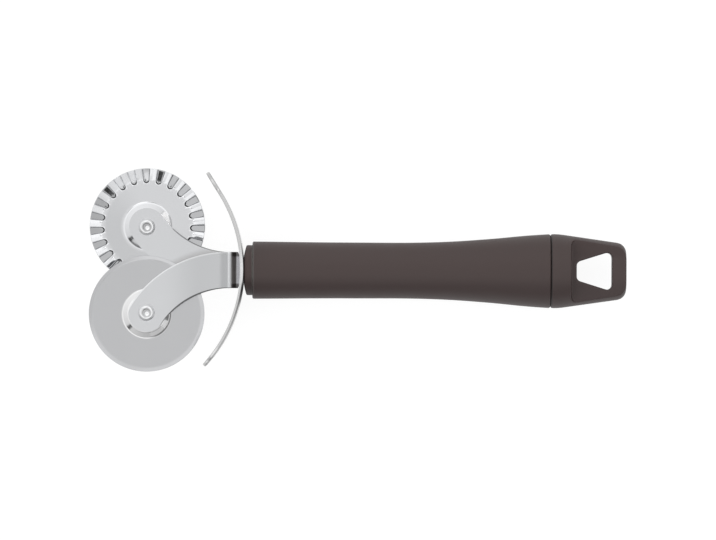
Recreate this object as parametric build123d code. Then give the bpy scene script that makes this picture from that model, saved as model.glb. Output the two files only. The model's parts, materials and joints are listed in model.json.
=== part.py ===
from build123d import *

import os
from math import acos, atan2, cos, radians, sin, tan

# A double pastry wheel, lying on a table as it is drawn.
# X runs along the handle towards the hanging end, Z is up, the wheels turn about Z.
# All sizes are millimetres. While a piece is drawn, X = 0 is the front face of the
# handle's collar and Y = Z = 0 is the handle's axis. Everything is placed at the end.

# Wheels: stamped stainless discs with a raised boss towards the arm
wheel_radius = 20.0
wheel_sheet = 1.0
boss_height = 2.0
boss_top_radius = 6.2
boss_base_radius = 8.3
boss_bend_radius = 0.6
hub_offset = 15.2                   # from the handle's axis to each wheel's axis
bevel_width = 1.2                   # ground edge of the plain wheel
edge_thickness = 0.35

# Flutes of the crimped wheel: the rim flares to the front, troughs are pressed to the back
flute_count = 23
flute_turn = -2.5                   # degrees, of the first trough from X
flute_inner_radius = 14.9
flute_half_angle = 3.7              # degrees, at the mouth of a trough
flute_end_fullness = 0.94           # inner end of a trough, 1 is a half circle
flute_wall_draft = 18.0             # degrees
flute_inner_depth = 0.45
flute_rim_depth = 1.1
flute_wall = 0.5
flute_root = 0.2                    # how far a swelling reaches into the sheet
flare_start_radius = 15.2
flare_height = 0.6
blank_margin = 0.6                  # rim metal that is trimmed off last

# Axles: a semi-tubular rivet through a spacer bush and a washer at each hub
rivet_shank_radius = 2.0
rivet_ring_radius = 2.75
rivet_crest_radius = 1.85
rivet_ring_height = 0.95
rivet_dimple_radius = 1.15
rivet_dimple_floor = 0.35
rivet_dimple_round = 0.3
rivet_crest_round = 0.45
rivet_ring_round = 0.3
rivet_head_radius = 3.6
rivet_head_height = 0.95
rivet_head_round = 0.4
bush_radius = 3.0
washer_radius = 4.5
washer_thickness = 0.5
shank_clearance = 0.02              # arm, bush and washer on the shank
running_clearance = 0.05            # radial, wheel bore on bush
end_float = 0.15                    # wheel between arm and washer, each side

# Arms: two equal strips, one turned over, each bent off the tang by a joggle
arm_sheet = 1.5
arm_width = 12.5
arm_arc_radius = 33.6
arm_offset = 2.0                    # inner face of each arm from the handle's axis
arm_bend_radius = 0.6
arm_edge_radius = 0.25
joggle_start = -5.55
joggle_end = -3.23
shoulder_start = -2.63
shoulder_end = -1.34
tang_width = 9.2
tang_end = 42.0
tang_key_radius = 2.0
tang_key_places = (16.0, 32.0)

# Guard: a curved strip between the arms' shoulders and the handle
guard_outer_radius = 50.0
guard_sheet = 1.0
guard_half_angle = 42.3             # degrees
guard_corner_radius = 8.0
guard_edge_radius = 0.3
guard_gap = 0.02                    # between the guard and the collar
slot_clearance = 0.1

# Handle: a collar with the tang socket, a hollow grip and a hanging end
collar_radius = 8.65
collar_length = 2.9
collar_face_radius = 5.0
collar_face_round = 2.0
collar_bevel = 1.0
collar_rim_round = 0.8
plug_radius = 7.4
plug_end = 46.0
plug_lead_round = 1.0
socket_clearance = 0.03
grip_front_radius = 9.9
grip_waist = (38.0, 9.66)
grip_hip = (66.0, 9.87)
grip_rise = (84.0, 10.97)
grip_crown = (98.0, 12.27)
grip_front_slope = (1, -0.01)
grip_rear_slope = (1, 0.03)
grip_end = 105.85
grip_front_round = 1.0
grip_rear_round = 0.9
swell_radius = 12.8
bore_clearance = 0.05
bore_step_length = 6.0

# Hanging end: a tapered cap, cut flat on both faces round a trapezium-shaped hole
tail_taper_start = 108.6
tail_end = 131.95
tail_end_radius = 9.45
tail_shoulder_round = 20.0
tail_corner_round = 3.5
tail_front_round = 0.3
tail_flat_half = 5.3                # each flat from the handle's axis
tail_flat_start = 112.75
tail_flat_half_width = 11.0
tail_flat_corner = 2.5
hole_front = 114.8
hole_rear = 127.3
hole_front_half = 3.1
hole_rear_half = 6.75
hole_front_round = 1.0
hole_rear_round = 2.0
hole_edge_round = 0.6
spigot_radius = 10.0
spigot_bore = 7.6
spigot_length = 12.0
snap_height = 0.35
snap_width = 1.6
snap_place = 6.0                    # from the seam, into the grip

# Values that follow from the sizes above
half_turn = 180.0
quarter_turn = 90.0
arm_sweep = acos(1 - hub_offset / arm_arc_radius)
hub_x = joggle_start - arm_arc_radius * sin(arm_sweep)
handle_height = swell_radius
guard_depth = 2 * handle_height
middle_x = (hub_x - wheel_radius + tail_end) / 2
bush_length = wheel_sheet + 2 * end_float
disc_drop = arm_sheet + end_float + boss_height
washer_drop = arm_sheet + bush_length
plain_hub = Vector(hub_x, -hub_offset, arm_offset + arm_sheet)
fluted_hub = Vector(hub_x, hub_offset, -arm_offset)
well_past = 50.0                    # reach of cutting shapes past the piece they cut
hair = 0.001                        # smaller than any real distance here


def turned_z(points, radii):
    """Solid turned about Z from a closed outline of (radius, height) points."""
    outline = FilletPolyline(*points, radius=radii, close=True)
    return revolve(Plane.XZ * make_face(outline), Axis.Z)


def turned_x(points, radii):
    """Solid turned about X from a closed outline of (x, radius) points."""
    outline = FilletPolyline(*points, radius=radii, close=True)
    return revolve(make_face(outline), Axis.X)


def turned_over(shape):
    """The same piece turned over about the handle's axis."""
    return shape.rotate(Axis.X, half_turn)


def arc_band(centre, inner_radius, outer_radius, start, sweep):
    """Flat band between two arcs about one centre; angles in degrees."""
    outer = CenterArc(centre, outer_radius, start, sweep)
    inner = CenterArc(centre, inner_radius, start, sweep)
    return make_face([outer, Line(outer @ 1, inner @ 1), inner, Line(inner @ 0, outer @ 0)])


def stamped_disc(front_rim, back_rim):
    """Disc with its boss, front face at Z = 0; each rim is a list of outline points going outwards."""
    flank_angle = atan2(boss_height, boss_base_radius - boss_top_radius)
    bend_shift = wheel_sheet * tan(flank_angle / 2)
    bore_radius = bush_radius + running_clearance
    inner_bend = boss_bend_radius
    outer_bend = boss_bend_radius + wheel_sheet
    front = [(bore_radius, boss_height), (boss_top_radius, boss_height), (boss_base_radius, 0)]
    back = [
        (boss_base_radius - bend_shift, -wheel_sheet),
        (boss_top_radius - bend_shift, boss_height - wheel_sheet),
        (bore_radius, boss_height - wheel_sheet),
    ]
    points = front + front_rim + back_rim[::-1] + back
    rim_radii = [0] * (len(front_rim) + len(back_rim))
    radii = [0, outer_bend, inner_bend] + rim_radii + [outer_bend, inner_bend, 0]
    return turned_z(points, radii)


def plain_wheel():
    """Cutting disc with an edge ground from both faces."""
    bevel_drop = (wheel_sheet - edge_thickness) / 2
    bevel_start = wheel_radius - bevel_width
    front_rim = [(bevel_start, 0), (wheel_radius, -bevel_drop)]
    back_rim = [(bevel_start, -wheel_sheet), (wheel_radius, bevel_drop - wheel_sheet)]
    return stamped_disc(front_rim, back_rim)


def trough(extra_width, extra_depth):
    """Pressed trough along X with a round inner end, drafted walls and a floor falling outwards."""
    inner = flute_inner_radius - extra_width
    outer = wheel_radius + 2 * blank_margin
    spread = tan(radians(flute_half_angle))
    inner_half = inner * spread + extra_width
    outer_half = outer * spread + extra_width
    outline = [(inner, -inner_half), (outer, -outer_half), (outer, outer_half), (inner, inner_half)]
    end_round = inner_half * flute_end_fullness
    mouth = make_face(FilletPolyline(*outline, radius=[end_round, 0, 0, end_round], close=True))
    reach = flare_height + flute_rim_depth + extra_depth + flute_wall
    walls = extrude(Pos(0, 0, flare_height) * mouth, -reach, taper=flute_wall_draft)
    fall = (flute_rim_depth - flute_inner_depth) / (wheel_radius - flute_inner_radius)
    inner_floor = -flute_inner_depth - extra_depth + fall * extra_width
    outer_floor = inner_floor - fall * (outer - inner)
    side = Polyline(
        (inner, well_past), (outer, well_past), (outer, outer_floor), (inner, inner_floor), close=True
    )
    above_floor = extrude(Plane.XZ * make_face(side), well_past, both=True)
    return walls & above_floor


def fluted_wheel():
    """Disc whose rim flares forward between troughs that are pressed back."""
    flare = flare_height / (wheel_radius - flare_start_radius)
    blank_radius = wheel_radius + blank_margin
    blank_height = flare * (blank_radius - flare_start_radius)
    front_rim = [(flare_start_radius, 0), (blank_radius, blank_height)]
    back_rim = [(flare_start_radius, -wheel_sheet), (blank_radius, blank_height - wheel_sheet)]
    disc = stamped_disc(front_rim, back_rim)
    below_face = Pos(0, 0, -well_past / 2 - flute_root) * Box(well_past, well_past, well_past)
    swelling = trough(flute_wall, wheel_sheet) & below_face
    hollow = trough(0, 0)
    around = PolarLocations(0, flute_count, start_angle=flute_turn)
    pressed = disc.fuse(*[place * swelling for place in around])
    pressed = pressed.cut(*[place * hollow for place in around])
    return pressed & Cylinder(wheel_radius, well_past)


def axle_rivet():
    """Rivet with its clinched ring on the arm's front face at Z = 0 and its head below."""
    head_top = -washer_drop - washer_thickness
    head_bottom = head_top - rivet_head_height
    shank = rivet_shank_radius - shank_clearance
    points = [
        (0, rivet_dimple_floor),
        (rivet_dimple_radius, rivet_dimple_floor),
        (rivet_crest_radius, rivet_ring_height),
        (rivet_ring_radius, rivet_ring_height / 2),
        (rivet_ring_radius, 0),
        (shank, 0),
        (shank, head_top),
        (rivet_head_radius, head_top),
        (rivet_head_radius, head_bottom),
        (0, head_bottom),
    ]
    ring_radii = [rivet_dimple_round, rivet_crest_round, rivet_ring_round]
    return turned_z(points, [0, *ring_radii, 0, 0, 0, 0, rivet_head_round, 0])


def ring(outer_radius, height):
    """Ring on the rivet's shank that hangs below Z = 0."""
    inner_radius = rivet_shank_radius
    points = [(inner_radius, 0), (outer_radius, 0), (outer_radius, -height), (inner_radius, -height)]
    return turned_z(points, [0, 0, 0, 0])


def arm_plan():
    """Flat outline of one arm, curving to -Y, with its tang and holes."""
    half = arm_width / 2
    tang_half = tang_width / 2
    straight = Polyline(
        (joggle_start, half),
        (shoulder_start, half),
        (shoulder_end, tang_half),
        (tang_end, tang_half),
        (tang_end, -tang_half),
        (shoulder_end, -tang_half),
        (shoulder_start, -half),
        (joggle_start, -half),
        close=True,
    )
    centre = (joggle_start, -arm_arc_radius)
    sweep = arm_sweep / radians(1)
    band = arc_band(centre, arm_arc_radius - half, arm_arc_radius + half, quarter_turn, sweep)
    hub = Pos(hub_x, -hub_offset)
    plan = make_face(straight) + band + hub * Circle(half) - hub * Circle(rivet_shank_radius)
    for place in tang_key_places:
        plan -= Pos(place, 0) * Circle(tang_key_radius)
    return plan


def arm():
    """Front arm: the flat outline bent down to the tang by a joggle, with eased edges."""
    slope = atan2(arm_offset, joggle_end - joggle_start)
    bend_shift = arm_sheet * tan(slope / 2)
    outer_bend = arm_bend_radius + arm_sheet
    far_left = hub_x - arm_width
    side = FilletPolyline(
        (far_left, arm_offset),
        (joggle_start, arm_offset),
        (joggle_end, 0),
        (tang_end, 0),
        (tang_end, arm_sheet),
        (joggle_end + bend_shift, arm_sheet),
        (joggle_start + bend_shift, arm_offset + arm_sheet),
        (far_left, arm_offset + arm_sheet),
        radius=[0, arm_bend_radius, outer_bend, 0, 0, arm_bend_radius, outer_bend, 0],
        close=True,
    )
    bent_sheet = extrude(Plane.XZ * make_face(side), well_past, both=True)
    strip = bent_sheet & extrude(arm_plan(), well_past, both=True)
    upright = strip.faces().filter_by(lambda face: abs(face.normal_at().Z) < hair)
    rims = upright.edges().filter_by(lambda edge: abs(edge.tangent_at(0.5).Z) < 1 - hair)
    return fillet(rims.filter_by(lambda edge: edge.center().X < shoulder_end), arm_edge_radius)


def tip_view(side):
    """Long prism with the outline of one guard tip, seen square to that tip; side is 1 or -1."""
    angle = radians(guard_half_angle)
    outwards = Vector(cos(angle), side * sin(angle), 0)
    along = Vector(-sin(angle), side * cos(angle), 0)
    tip = Vector(-guard_outer_radius - guard_gap, 0, 0) + outwards * guard_outer_radius
    length = 2 * guard_outer_radius
    outline = Pos(-length / 2, 0) * RectangleRounded(length, guard_depth, guard_corner_radius)
    return extrude(Plane(origin=tip, x_dir=along, z_dir=outwards) * outline, well_past, both=True)


def guard():
    """Curved strip with rounded corners, eased edges and a slot for the two tangs."""
    centre = (-guard_outer_radius - guard_gap, 0)
    inner_radius = guard_outer_radius - guard_sheet
    strip = arc_band(centre, inner_radius, guard_outer_radius, -quarter_turn / 2, quarter_turn)
    bent = extrude(strip, guard_depth / 2, both=True)
    blank = bent & tip_view(1) & tip_view(-1)
    rims = blank.edges().filter_by(lambda edge: edge.length > 2 * guard_sheet)
    eased = fillet(rims, guard_edge_radius)
    return eased - Box(well_past, tang_width + 2 * slot_clearance, 2 * (arm_sheet + slot_clearance))


def front_collar():
    """Stepped nose of the handle, with a plug that grips the tangs."""
    points = [
        (0, 0),
        (0, collar_face_radius),
        (collar_bevel, collar_radius),
        (collar_length, collar_radius),
        (collar_length, plug_radius),
        (plug_end, plug_radius),
        (plug_end, 0),
    ]
    nose = turned_x(points, [0, collar_face_round, collar_rim_round, 0, 0, plug_lead_round, 0])
    socket_width = tang_width + 2 * socket_clearance
    socket_height = 2 * (arm_sheet + socket_clearance)
    socket_length = tang_end + socket_clearance
    nose -= Pos(socket_length / 2, 0, 0) * Box(socket_length, socket_width, socket_height)
    key = Cylinder(tang_key_radius - socket_clearance, socket_height)
    for place in tang_key_places:
        nose += Pos(place, 0, 0) * key
    return nose


def handle_body():
    """Hollow grip: slightly waisted, swelling towards the hanging end."""
    shoulder = (collar_length + grip_front_round, grip_front_radius)
    crown = (grip_end - grip_rear_round, swell_radius)
    outside = Spline(
        shoulder, grip_waist, grip_hip, grip_rise, grip_crown, crown,
        tangents=[grip_front_slope, grip_rear_slope],
    )
    front_lip = (collar_length, grip_front_radius - grip_front_round)
    front_edge = TangentArc(shoulder, front_lip, tangent=(-1, 0))
    rear_lip = (grip_end, swell_radius - grip_rear_round)
    rear_edge = TangentArc(crown, rear_lip, tangent=(1, 0))
    plug_bore = plug_radius + bore_clearance
    rear_bore = spigot_radius + bore_clearance
    step_end = grip_end - spigot_length
    groove_middle = grip_end - snap_place
    inside = Polyline(
        rear_lip,
        (grip_end, rear_bore),
        (groove_middle + snap_width / 2, rear_bore),
        (groove_middle, rear_bore + snap_height),
        (groove_middle - snap_width / 2, rear_bore),
        (step_end, rear_bore),
        (step_end - bore_step_length, plug_bore),
        (collar_length, plug_bore),
        front_lip,
    )
    return revolve(make_face([outside, rear_edge, inside, front_edge]), Axis.X)


def hanging_hole():
    """Trapezium-shaped prism, narrow towards the grip."""
    points = [
        (hole_front, -hole_front_half),
        (hole_rear, -hole_rear_half),
        (hole_rear, hole_rear_half),
        (hole_front, hole_front_half),
    ]
    rounds = [hole_front_round, hole_rear_round, hole_rear_round, hole_front_round]
    return extrude(make_face(FilletPolyline(*points, radius=rounds, close=True)), well_past, both=True)


def on_hole_edge(edge):
    """True for the edges where the hanging hole opens in either flat."""
    middle = edge.center()
    lies_flat = edge.bounding_box().size.Z < hair
    inside_x = hole_front - hair < middle.X < hole_rear + hair
    return lies_flat and inside_x and abs(middle.Y) < hole_rear_half


def spigot():
    """Tube of the hanging end that snaps into the grip."""
    front = grip_end - spigot_length
    bead = grip_end - snap_place
    points = [
        (front, spigot_bore),
        (front, spigot_radius),
        (bead - snap_width / 2, spigot_radius),
        (bead, spigot_radius + snap_height),
        (bead + snap_width / 2, spigot_radius),
        (grip_end, spigot_radius),
        (grip_end, spigot_bore),
    ]
    return turned_x(points, [0] * len(points))


def end_cap():
    """Tapered hanging end with two flats, a hole and a snap-in spigot."""
    points = [
        (grip_end, 0),
        (grip_end, swell_radius),
        (tail_taper_start, swell_radius),
        (tail_end, tail_end_radius),
        (tail_end, 0),
    ]
    cap = turned_x(points, [0, tail_front_round, tail_shoulder_round, tail_corner_round, 0])
    flat_plan = RectangleRounded(well_past, 2 * tail_flat_half_width, tail_flat_corner)
    flat_place = Pos(tail_flat_start + well_past / 2, 0, tail_flat_half)
    flat_cut = flat_place * extrude(flat_plan, swell_radius)
    cap = cap - flat_cut - turned_over(flat_cut) - hanging_hole()
    cap = fillet(cap.edges().filter_by(on_hole_edge), hole_edge_round)
    return cap + spigot()


def at_hub(hub, drop, shape):
    """Shape moved to a hub, below the arm's front face by drop."""
    return Pos(hub.X, hub.Y, hub.Z - drop) * shape


front_arm = arm()
pieces = {
    "handle_body": handle_body(),
    "front_collar": front_collar(),
    "end_cap": end_cap(),
    "guard": guard(),
    "plain_arm": front_arm,
    "fluted_arm": turned_over(front_arm),
    "plain_wheel": at_hub(plain_hub, disc_drop, plain_wheel()),
    "fluted_wheel": at_hub(fluted_hub, disc_drop, fluted_wheel()),
}
for name, hub in (("plain", plain_hub), ("fluted", fluted_hub)):
    pieces[name + "_axle_rivet"] = at_hub(hub, 0, axle_rivet())
    pieces[name + "_spacer_bush"] = at_hub(hub, arm_sheet, ring(bush_radius, bush_length))
    pieces[name + "_back_washer"] = at_hub(hub, washer_drop, ring(washer_radius, washer_thickness))

os.makedirs("parts", exist_ok=True)
for name, shape in pieces.items():
    export_step(Pos(-middle_x, 0, handle_height) * shape, f"parts/{name}.step")
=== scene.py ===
# %% [markdown]
# # A double pastry wheel
#
# This tool cuts rolled dough. A plain wheel makes a straight cut and a fluted wheel a wavy one.
# Each wheel spins on a rivet at the end of a curved steel arm, a bent steel guard keeps the
# fingers off the dough, and the plastic handle ends in a hole to hang it by.
# The sizes and places come from a CAD model, which is loaded first and never moved. Every piece
# that shows is then modelled again as it would be made in a workshop: turned, stamped, bent or
# moulded. The script works in metres, with X along the handle and Z up.

# %% Load the CAD model as the fixed frame
import json
import math

import bmesh
import bpy
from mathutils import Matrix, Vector


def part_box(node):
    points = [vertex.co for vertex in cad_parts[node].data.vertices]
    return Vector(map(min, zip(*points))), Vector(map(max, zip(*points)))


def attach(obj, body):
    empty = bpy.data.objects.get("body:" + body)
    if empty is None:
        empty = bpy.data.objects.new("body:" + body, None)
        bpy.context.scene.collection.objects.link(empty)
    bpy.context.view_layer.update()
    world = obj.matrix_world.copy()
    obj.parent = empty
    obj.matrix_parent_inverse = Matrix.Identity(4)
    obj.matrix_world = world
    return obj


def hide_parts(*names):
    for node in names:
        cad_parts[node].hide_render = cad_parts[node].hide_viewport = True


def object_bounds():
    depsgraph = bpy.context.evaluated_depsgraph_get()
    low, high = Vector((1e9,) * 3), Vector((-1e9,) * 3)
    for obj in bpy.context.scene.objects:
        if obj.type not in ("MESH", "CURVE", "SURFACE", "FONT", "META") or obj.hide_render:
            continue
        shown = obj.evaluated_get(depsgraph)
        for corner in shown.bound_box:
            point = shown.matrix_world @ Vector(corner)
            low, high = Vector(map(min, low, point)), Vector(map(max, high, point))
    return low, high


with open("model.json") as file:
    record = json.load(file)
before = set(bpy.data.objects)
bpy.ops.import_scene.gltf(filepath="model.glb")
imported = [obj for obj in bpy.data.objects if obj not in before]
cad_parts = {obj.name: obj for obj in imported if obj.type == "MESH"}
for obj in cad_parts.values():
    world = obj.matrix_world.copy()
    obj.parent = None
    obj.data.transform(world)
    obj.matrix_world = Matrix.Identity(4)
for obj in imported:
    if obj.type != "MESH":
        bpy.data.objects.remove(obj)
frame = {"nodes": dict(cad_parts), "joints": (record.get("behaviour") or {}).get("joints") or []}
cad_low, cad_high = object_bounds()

mm = 0.001
print("CAD nodes:", sorted(frame["nodes"]))
print("CAD box in mm:", [round(side / mm, 2) for side in cad_high - cad_low])

# %% [markdown]
# ## Places to measure from
#
# A fitter marks a few centre lines before anything else. Here they are read from the frame: the
# handle's axis, the front face of the collar, the seam of the hanging end, and the two hubs.

# %% Read the centre lines
grip_low, grip_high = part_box("handle_body")
axis_height = (grip_low.z + grip_high.z) / 2
grip_front = grip_low.x
grip_rear = grip_high.x
collar_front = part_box("front_collar")[0].x
tail_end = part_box("end_cap")[1].x
hubs = {joint["child"]: Vector(joint["pos_m"]) for joint in frame["joints"]}
print("handle axis at", round(axis_height / mm, 2), "mm, hubs at", hubs)

# %% [markdown]
# ## Tools for edit mode
#
# By hand, a piece starts from a small primitive, and points are extruded from it one after the
# other. These few helpers do the same. `pick` selects what lies at a known place, because a
# script has no mouse to click with.

# %% Helpers to start a piece and to select by place
weld = 0.004 * mm


def clear_selection():
    """Leave edit mode and deselect everything, so that the next operator acts on one piece."""
    if bpy.context.mode != "OBJECT":
        bpy.ops.object.mode_set(mode="OBJECT")
    bpy.ops.object.select_all(action="DESELECT")


def select_only(piece):
    """Select one piece and make it the active one."""
    clear_selection()
    piece.select_set(True)
    bpy.context.view_layer.objects.active = piece


def open_to_edit(piece):
    """Select one piece and go into edit mode."""
    select_only(piece)
    bpy.ops.object.mode_set(mode="EDIT")


def name_piece(name):
    """Name the new object and put its place into its mesh."""
    piece = bpy.context.object
    piece.name = name
    piece.data.name = name
    bpy.ops.object.transform_apply(location=True, rotation=True, scale=True)
    return piece


def begin_point(name, place):
    """Start a piece as one selected vertex, in edit mode."""
    clear_selection()
    bpy.ops.mesh.primitive_plane_add(size=mm, location=place)
    piece = name_piece(name)
    bpy.ops.object.mode_set(mode="EDIT")
    bpy.ops.mesh.select_mode(type="VERT")
    bpy.ops.mesh.select_all(action="SELECT")
    bpy.ops.mesh.merge(type="CENTER")
    return piece


def draw_line(places):
    """Extrude the selected vertex from the first place through all the others."""
    for here, there in zip(places, places[1:]):
        move = Vector(there) - Vector(here)
        bpy.ops.mesh.extrude_region_move(TRANSFORM_OT_translate={"value": move})


def pick(kind, test):
    """Select the vertices, edges or faces of the edited mesh whose corners all pass a test."""
    bpy.ops.mesh.select_mode(type=kind)
    bpy.ops.mesh.select_all(action="DESELECT")
    mesh = bpy.context.object.data
    form = bmesh.from_edit_mesh(mesh)
    parts = {"VERT": form.verts, "EDGE": form.edges, "FACE": form.faces}[kind]
    found = 0
    for part in parts:
        corners = [part] if kind == "VERT" else part.verts
        if all(test(corner.co) for corner in corners):
            part.select_set(True)
            found += 1
    form.select_flush_mode()
    bmesh.update_edit_mesh(mesh)
    return found


# %% [markdown]
# ## Turned pieces
#
# Grip, collar, wheels and rivets are all round about an axis. On a lathe, or in the mould that a
# lathe made, only the outline matters. So the outline is drawn as a line of points and spun, and
# the sharp rings are then bevelled, each with its own radius, the way a turner breaks an edge.

# %% Helpers to spin an outline and round its rings
def spin_round(centre, axis, steps):
    """Spin the edited outline a full turn, close the seam and point the faces outwards."""
    bpy.ops.mesh.select_all(action="SELECT")
    bpy.ops.mesh.spin(steps=steps, angle=math.tau, center=centre, axis=axis)
    bpy.ops.mesh.select_all(action="SELECT")
    bpy.ops.mesh.remove_doubles(threshold=weld)
    bpy.ops.mesh.normals_make_consistent(inside=False)


def round_ring(along, radius, centre, axis, width, segments=4):
    """Bevel the ring of edges at a distance along an axis and a radius from it."""
    axis = Vector(axis)

    def on_ring(place):
        away = place - Vector(centre)
        height = away.dot(axis)
        reach = (away - height * axis).length
        return abs(height - along) < weld and abs(reach - radius) < weld

    found = pick("EDGE", on_ring)
    bpy.ops.mesh.bevel(offset=width, segments=segments, affect="EDGES")
    return found


def turned_about_x(name, outline, rounds, steps):
    """Turn (x, radius) points about the handle's axis; rounds maps point numbers to bevel widths."""
    places = [(x, 0, axis_height + radius) for x, radius in outline]
    piece = begin_point(name, places[0])
    draw_line(places)
    centre = (0, 0, axis_height)
    spin_round(centre, (1, 0, 0), steps)
    for number, width in rounds.items():
        x, radius = outline[number]
        round_ring(x, radius, centre, (1, 0, 0), width)
    clear_selection()
    return piece


def turned_about_hub(name, hub, outline, rounds, steps):
    """Turn (radius, height) points about a hub's axis; heights are measured from the hub."""
    places = [(hub.x + radius, hub.y, hub.z + height) for radius, height in outline]
    piece = begin_point(name, places[0])
    draw_line(places)
    spin_round(hub, (0, 0, 1), steps)
    for number, width in rounds.items():
        radius, height = outline[number]
        round_ring(height, radius, hub, (0, 0, 1), width)
    clear_selection()
    return piece


# %% Helpers to finish a piece
def apply_modifier(piece, kind, **settings):
    """Add a modifier, set it and apply it."""
    select_only(piece)
    modifier = piece.modifiers.new(kind.lower(), kind)
    for setting, value in settings.items():
        setattr(modifier, setting, value)
    bpy.ops.object.modifier_apply(modifier=modifier.name)


def shade(piece, sharpest=35):
    """Smooth shading, crisp at angles over a limit in degrees, with flat faces kept flat."""
    select_only(piece)
    bpy.ops.object.shade_smooth_by_angle(angle=math.radians(sharpest))
    apply_modifier(piece, "WEIGHTED_NORMAL", mode="FACE_AREA", weight=50, keep_sharp=True)


def join_tool(piece, body, node, material):
    """Let a finished piece stand for its CAD node, ride on its body and take its finish."""
    piece.data.materials.clear()
    piece.data.materials.append(material)
    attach(piece, body)
    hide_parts(node)
    triangles = sum(len(face.vertices) - 2 for face in piece.data.polygons)
    print(piece.name, "stands for", node, "with", triangles, "triangles")


# %% [markdown]
# ## Shader helpers
#
# Every finish is built from nodes, so that it has grain at its real scale from any side. `add`
# places one node, sets it and links it.

# %% Helpers for node materials
def add(tree, kind, inputs=None, **settings):
    """Add a shader node with its settings, and with values or links on its inputs."""
    made = tree.nodes.new(kind)
    for setting, value in settings.items():
        setattr(made, setting, value)
    for socket, value in (inputs or {}).items():
        if isinstance(value, bpy.types.NodeSocket):
            tree.links.new(value, made.inputs[socket])
        else:
            made.inputs[socket].default_value = value
    return made


def new_finish(name):
    """An empty node material with its output and a Principled shader."""
    finish = bpy.data.materials.new(name)
    finish.use_nodes = True
    tree = finish.node_tree
    tree.nodes.clear()
    shader = add(tree, "ShaderNodeBsdfPrincipled")
    add(tree, "ShaderNodeOutputMaterial", {"Surface": shader.outputs["BSDF"]})
    return finish, tree, shader


def vary(tree, factor, low, high):
    """A number that follows a 0 to 1 pattern between a low and a high value."""
    spread = add(tree, "ShaderNodeMapRange", {"Value": factor, "To Min": low, "To Max": high})
    return spread.outputs["Result"]


# %% [markdown]
# ## Handle plastic
#
# The handle is injection moulded in a dark brown-grey plastic. The mould is spark eroded, which
# leaves a fine even grain that takes the shine off. Two noise textures make it: a fine one, a few
# tenths of a millimetre across, drives the bump, and a broad one lets colour and gloss drift.

# %% Moulded plastic
plastic_brown = (0.037, 0.0215, 0.0195)
plastic_brown_pale = (0.043, 0.026, 0.024)
# The collar's plastic is a lighter copy of the same brown: painted light, because the collar lies in
# the shade of the guard and the grip.
collar_painted_light_brown = (0.062, 0.037, 0.034)
collar_painted_light_pale = (0.069, 0.043, 0.04)
grain_scale = 3600
grain_depth = 0.02 * mm
grain_strength = 0.5
drift_scale = 140
plastic_roughness = (0.48, 0.6)


def moulded_plastic(name, brown, pale):
    finish, tree, shader = new_finish(name)
    place = add(tree, "ShaderNodeTexCoord").outputs["Object"]
    grain = add(tree, "ShaderNodeTexNoise", {"Vector": place, "Scale": grain_scale, "Detail": 3})
    drift = add(tree, "ShaderNodeTexNoise", {"Vector": place, "Scale": drift_scale, "Detail": 4})
    colour = add(
        tree,
        "ShaderNodeMix",
        {"Factor": drift.outputs["Fac"], "A": (*brown, 1), "B": (*pale, 1)},
        data_type="RGBA",
    )
    bump = add(
        tree,
        "ShaderNodeBump",
        {"Height": grain.outputs["Fac"], "Strength": grain_strength, "Distance": grain_depth},
    )
    tree.links.new(colour.outputs["Result"], shader.inputs["Base Color"])
    gloss = vary(tree, drift.outputs["Fac"], *plastic_roughness)
    tree.links.new(gloss, shader.inputs["Roughness"])
    tree.links.new(bump.outputs["Normal"], shader.inputs["Normal"])
    return finish


handle_plastic = moulded_plastic("handle_plastic_matt", plastic_brown, plastic_brown_pale)
collar_plastic = moulded_plastic("collar_plastic_matt", collar_painted_light_brown, collar_painted_light_pale)
print("made", handle_plastic.name, "and", collar_plastic.name)

# %% [markdown]
# ## Satin steel
#
# The wheels are polished while they turn, so their fine lines run round the hub. The arms and the
# guard are finished along the strip. Both are lines about some centre, so one recipe makes them
# all: a noise texture that changes quickly across the lines and slowly along them.

# %% Brushed steel about a centre
lines_per_metre = 9 / mm
change_along_lines = 5
hairline_pale = 1.05
hairline_depth = 0.002 * mm
hairline_strength = 0.3
handling_scale = 120
roughness_drift = 0.03


def distances(tree, centre):
    """Sockets for a point's heading, radius and height about a vertical axis through a centre."""
    place = add(tree, "ShaderNodeTexCoord").outputs["Object"]
    away = add(tree, "ShaderNodeVectorMath", {0: place, 1: centre}, operation="SUBTRACT")
    level = add(
        tree, "ShaderNodeVectorMath", {0: away.outputs[0], 1: (1, 1, 0)}, operation="MULTIPLY"
    )
    radius = add(tree, "ShaderNodeVectorMath", {0: level.outputs[0]}, operation="LENGTH")
    heading = add(tree, "ShaderNodeVectorMath", {0: level.outputs[0]}, operation="NORMALIZE")
    height = add(tree, "ShaderNodeSeparateXYZ", {"Vector": away.outputs[0]})
    return heading.outputs[0], radius.outputs["Value"], height.outputs["Z"]


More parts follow.
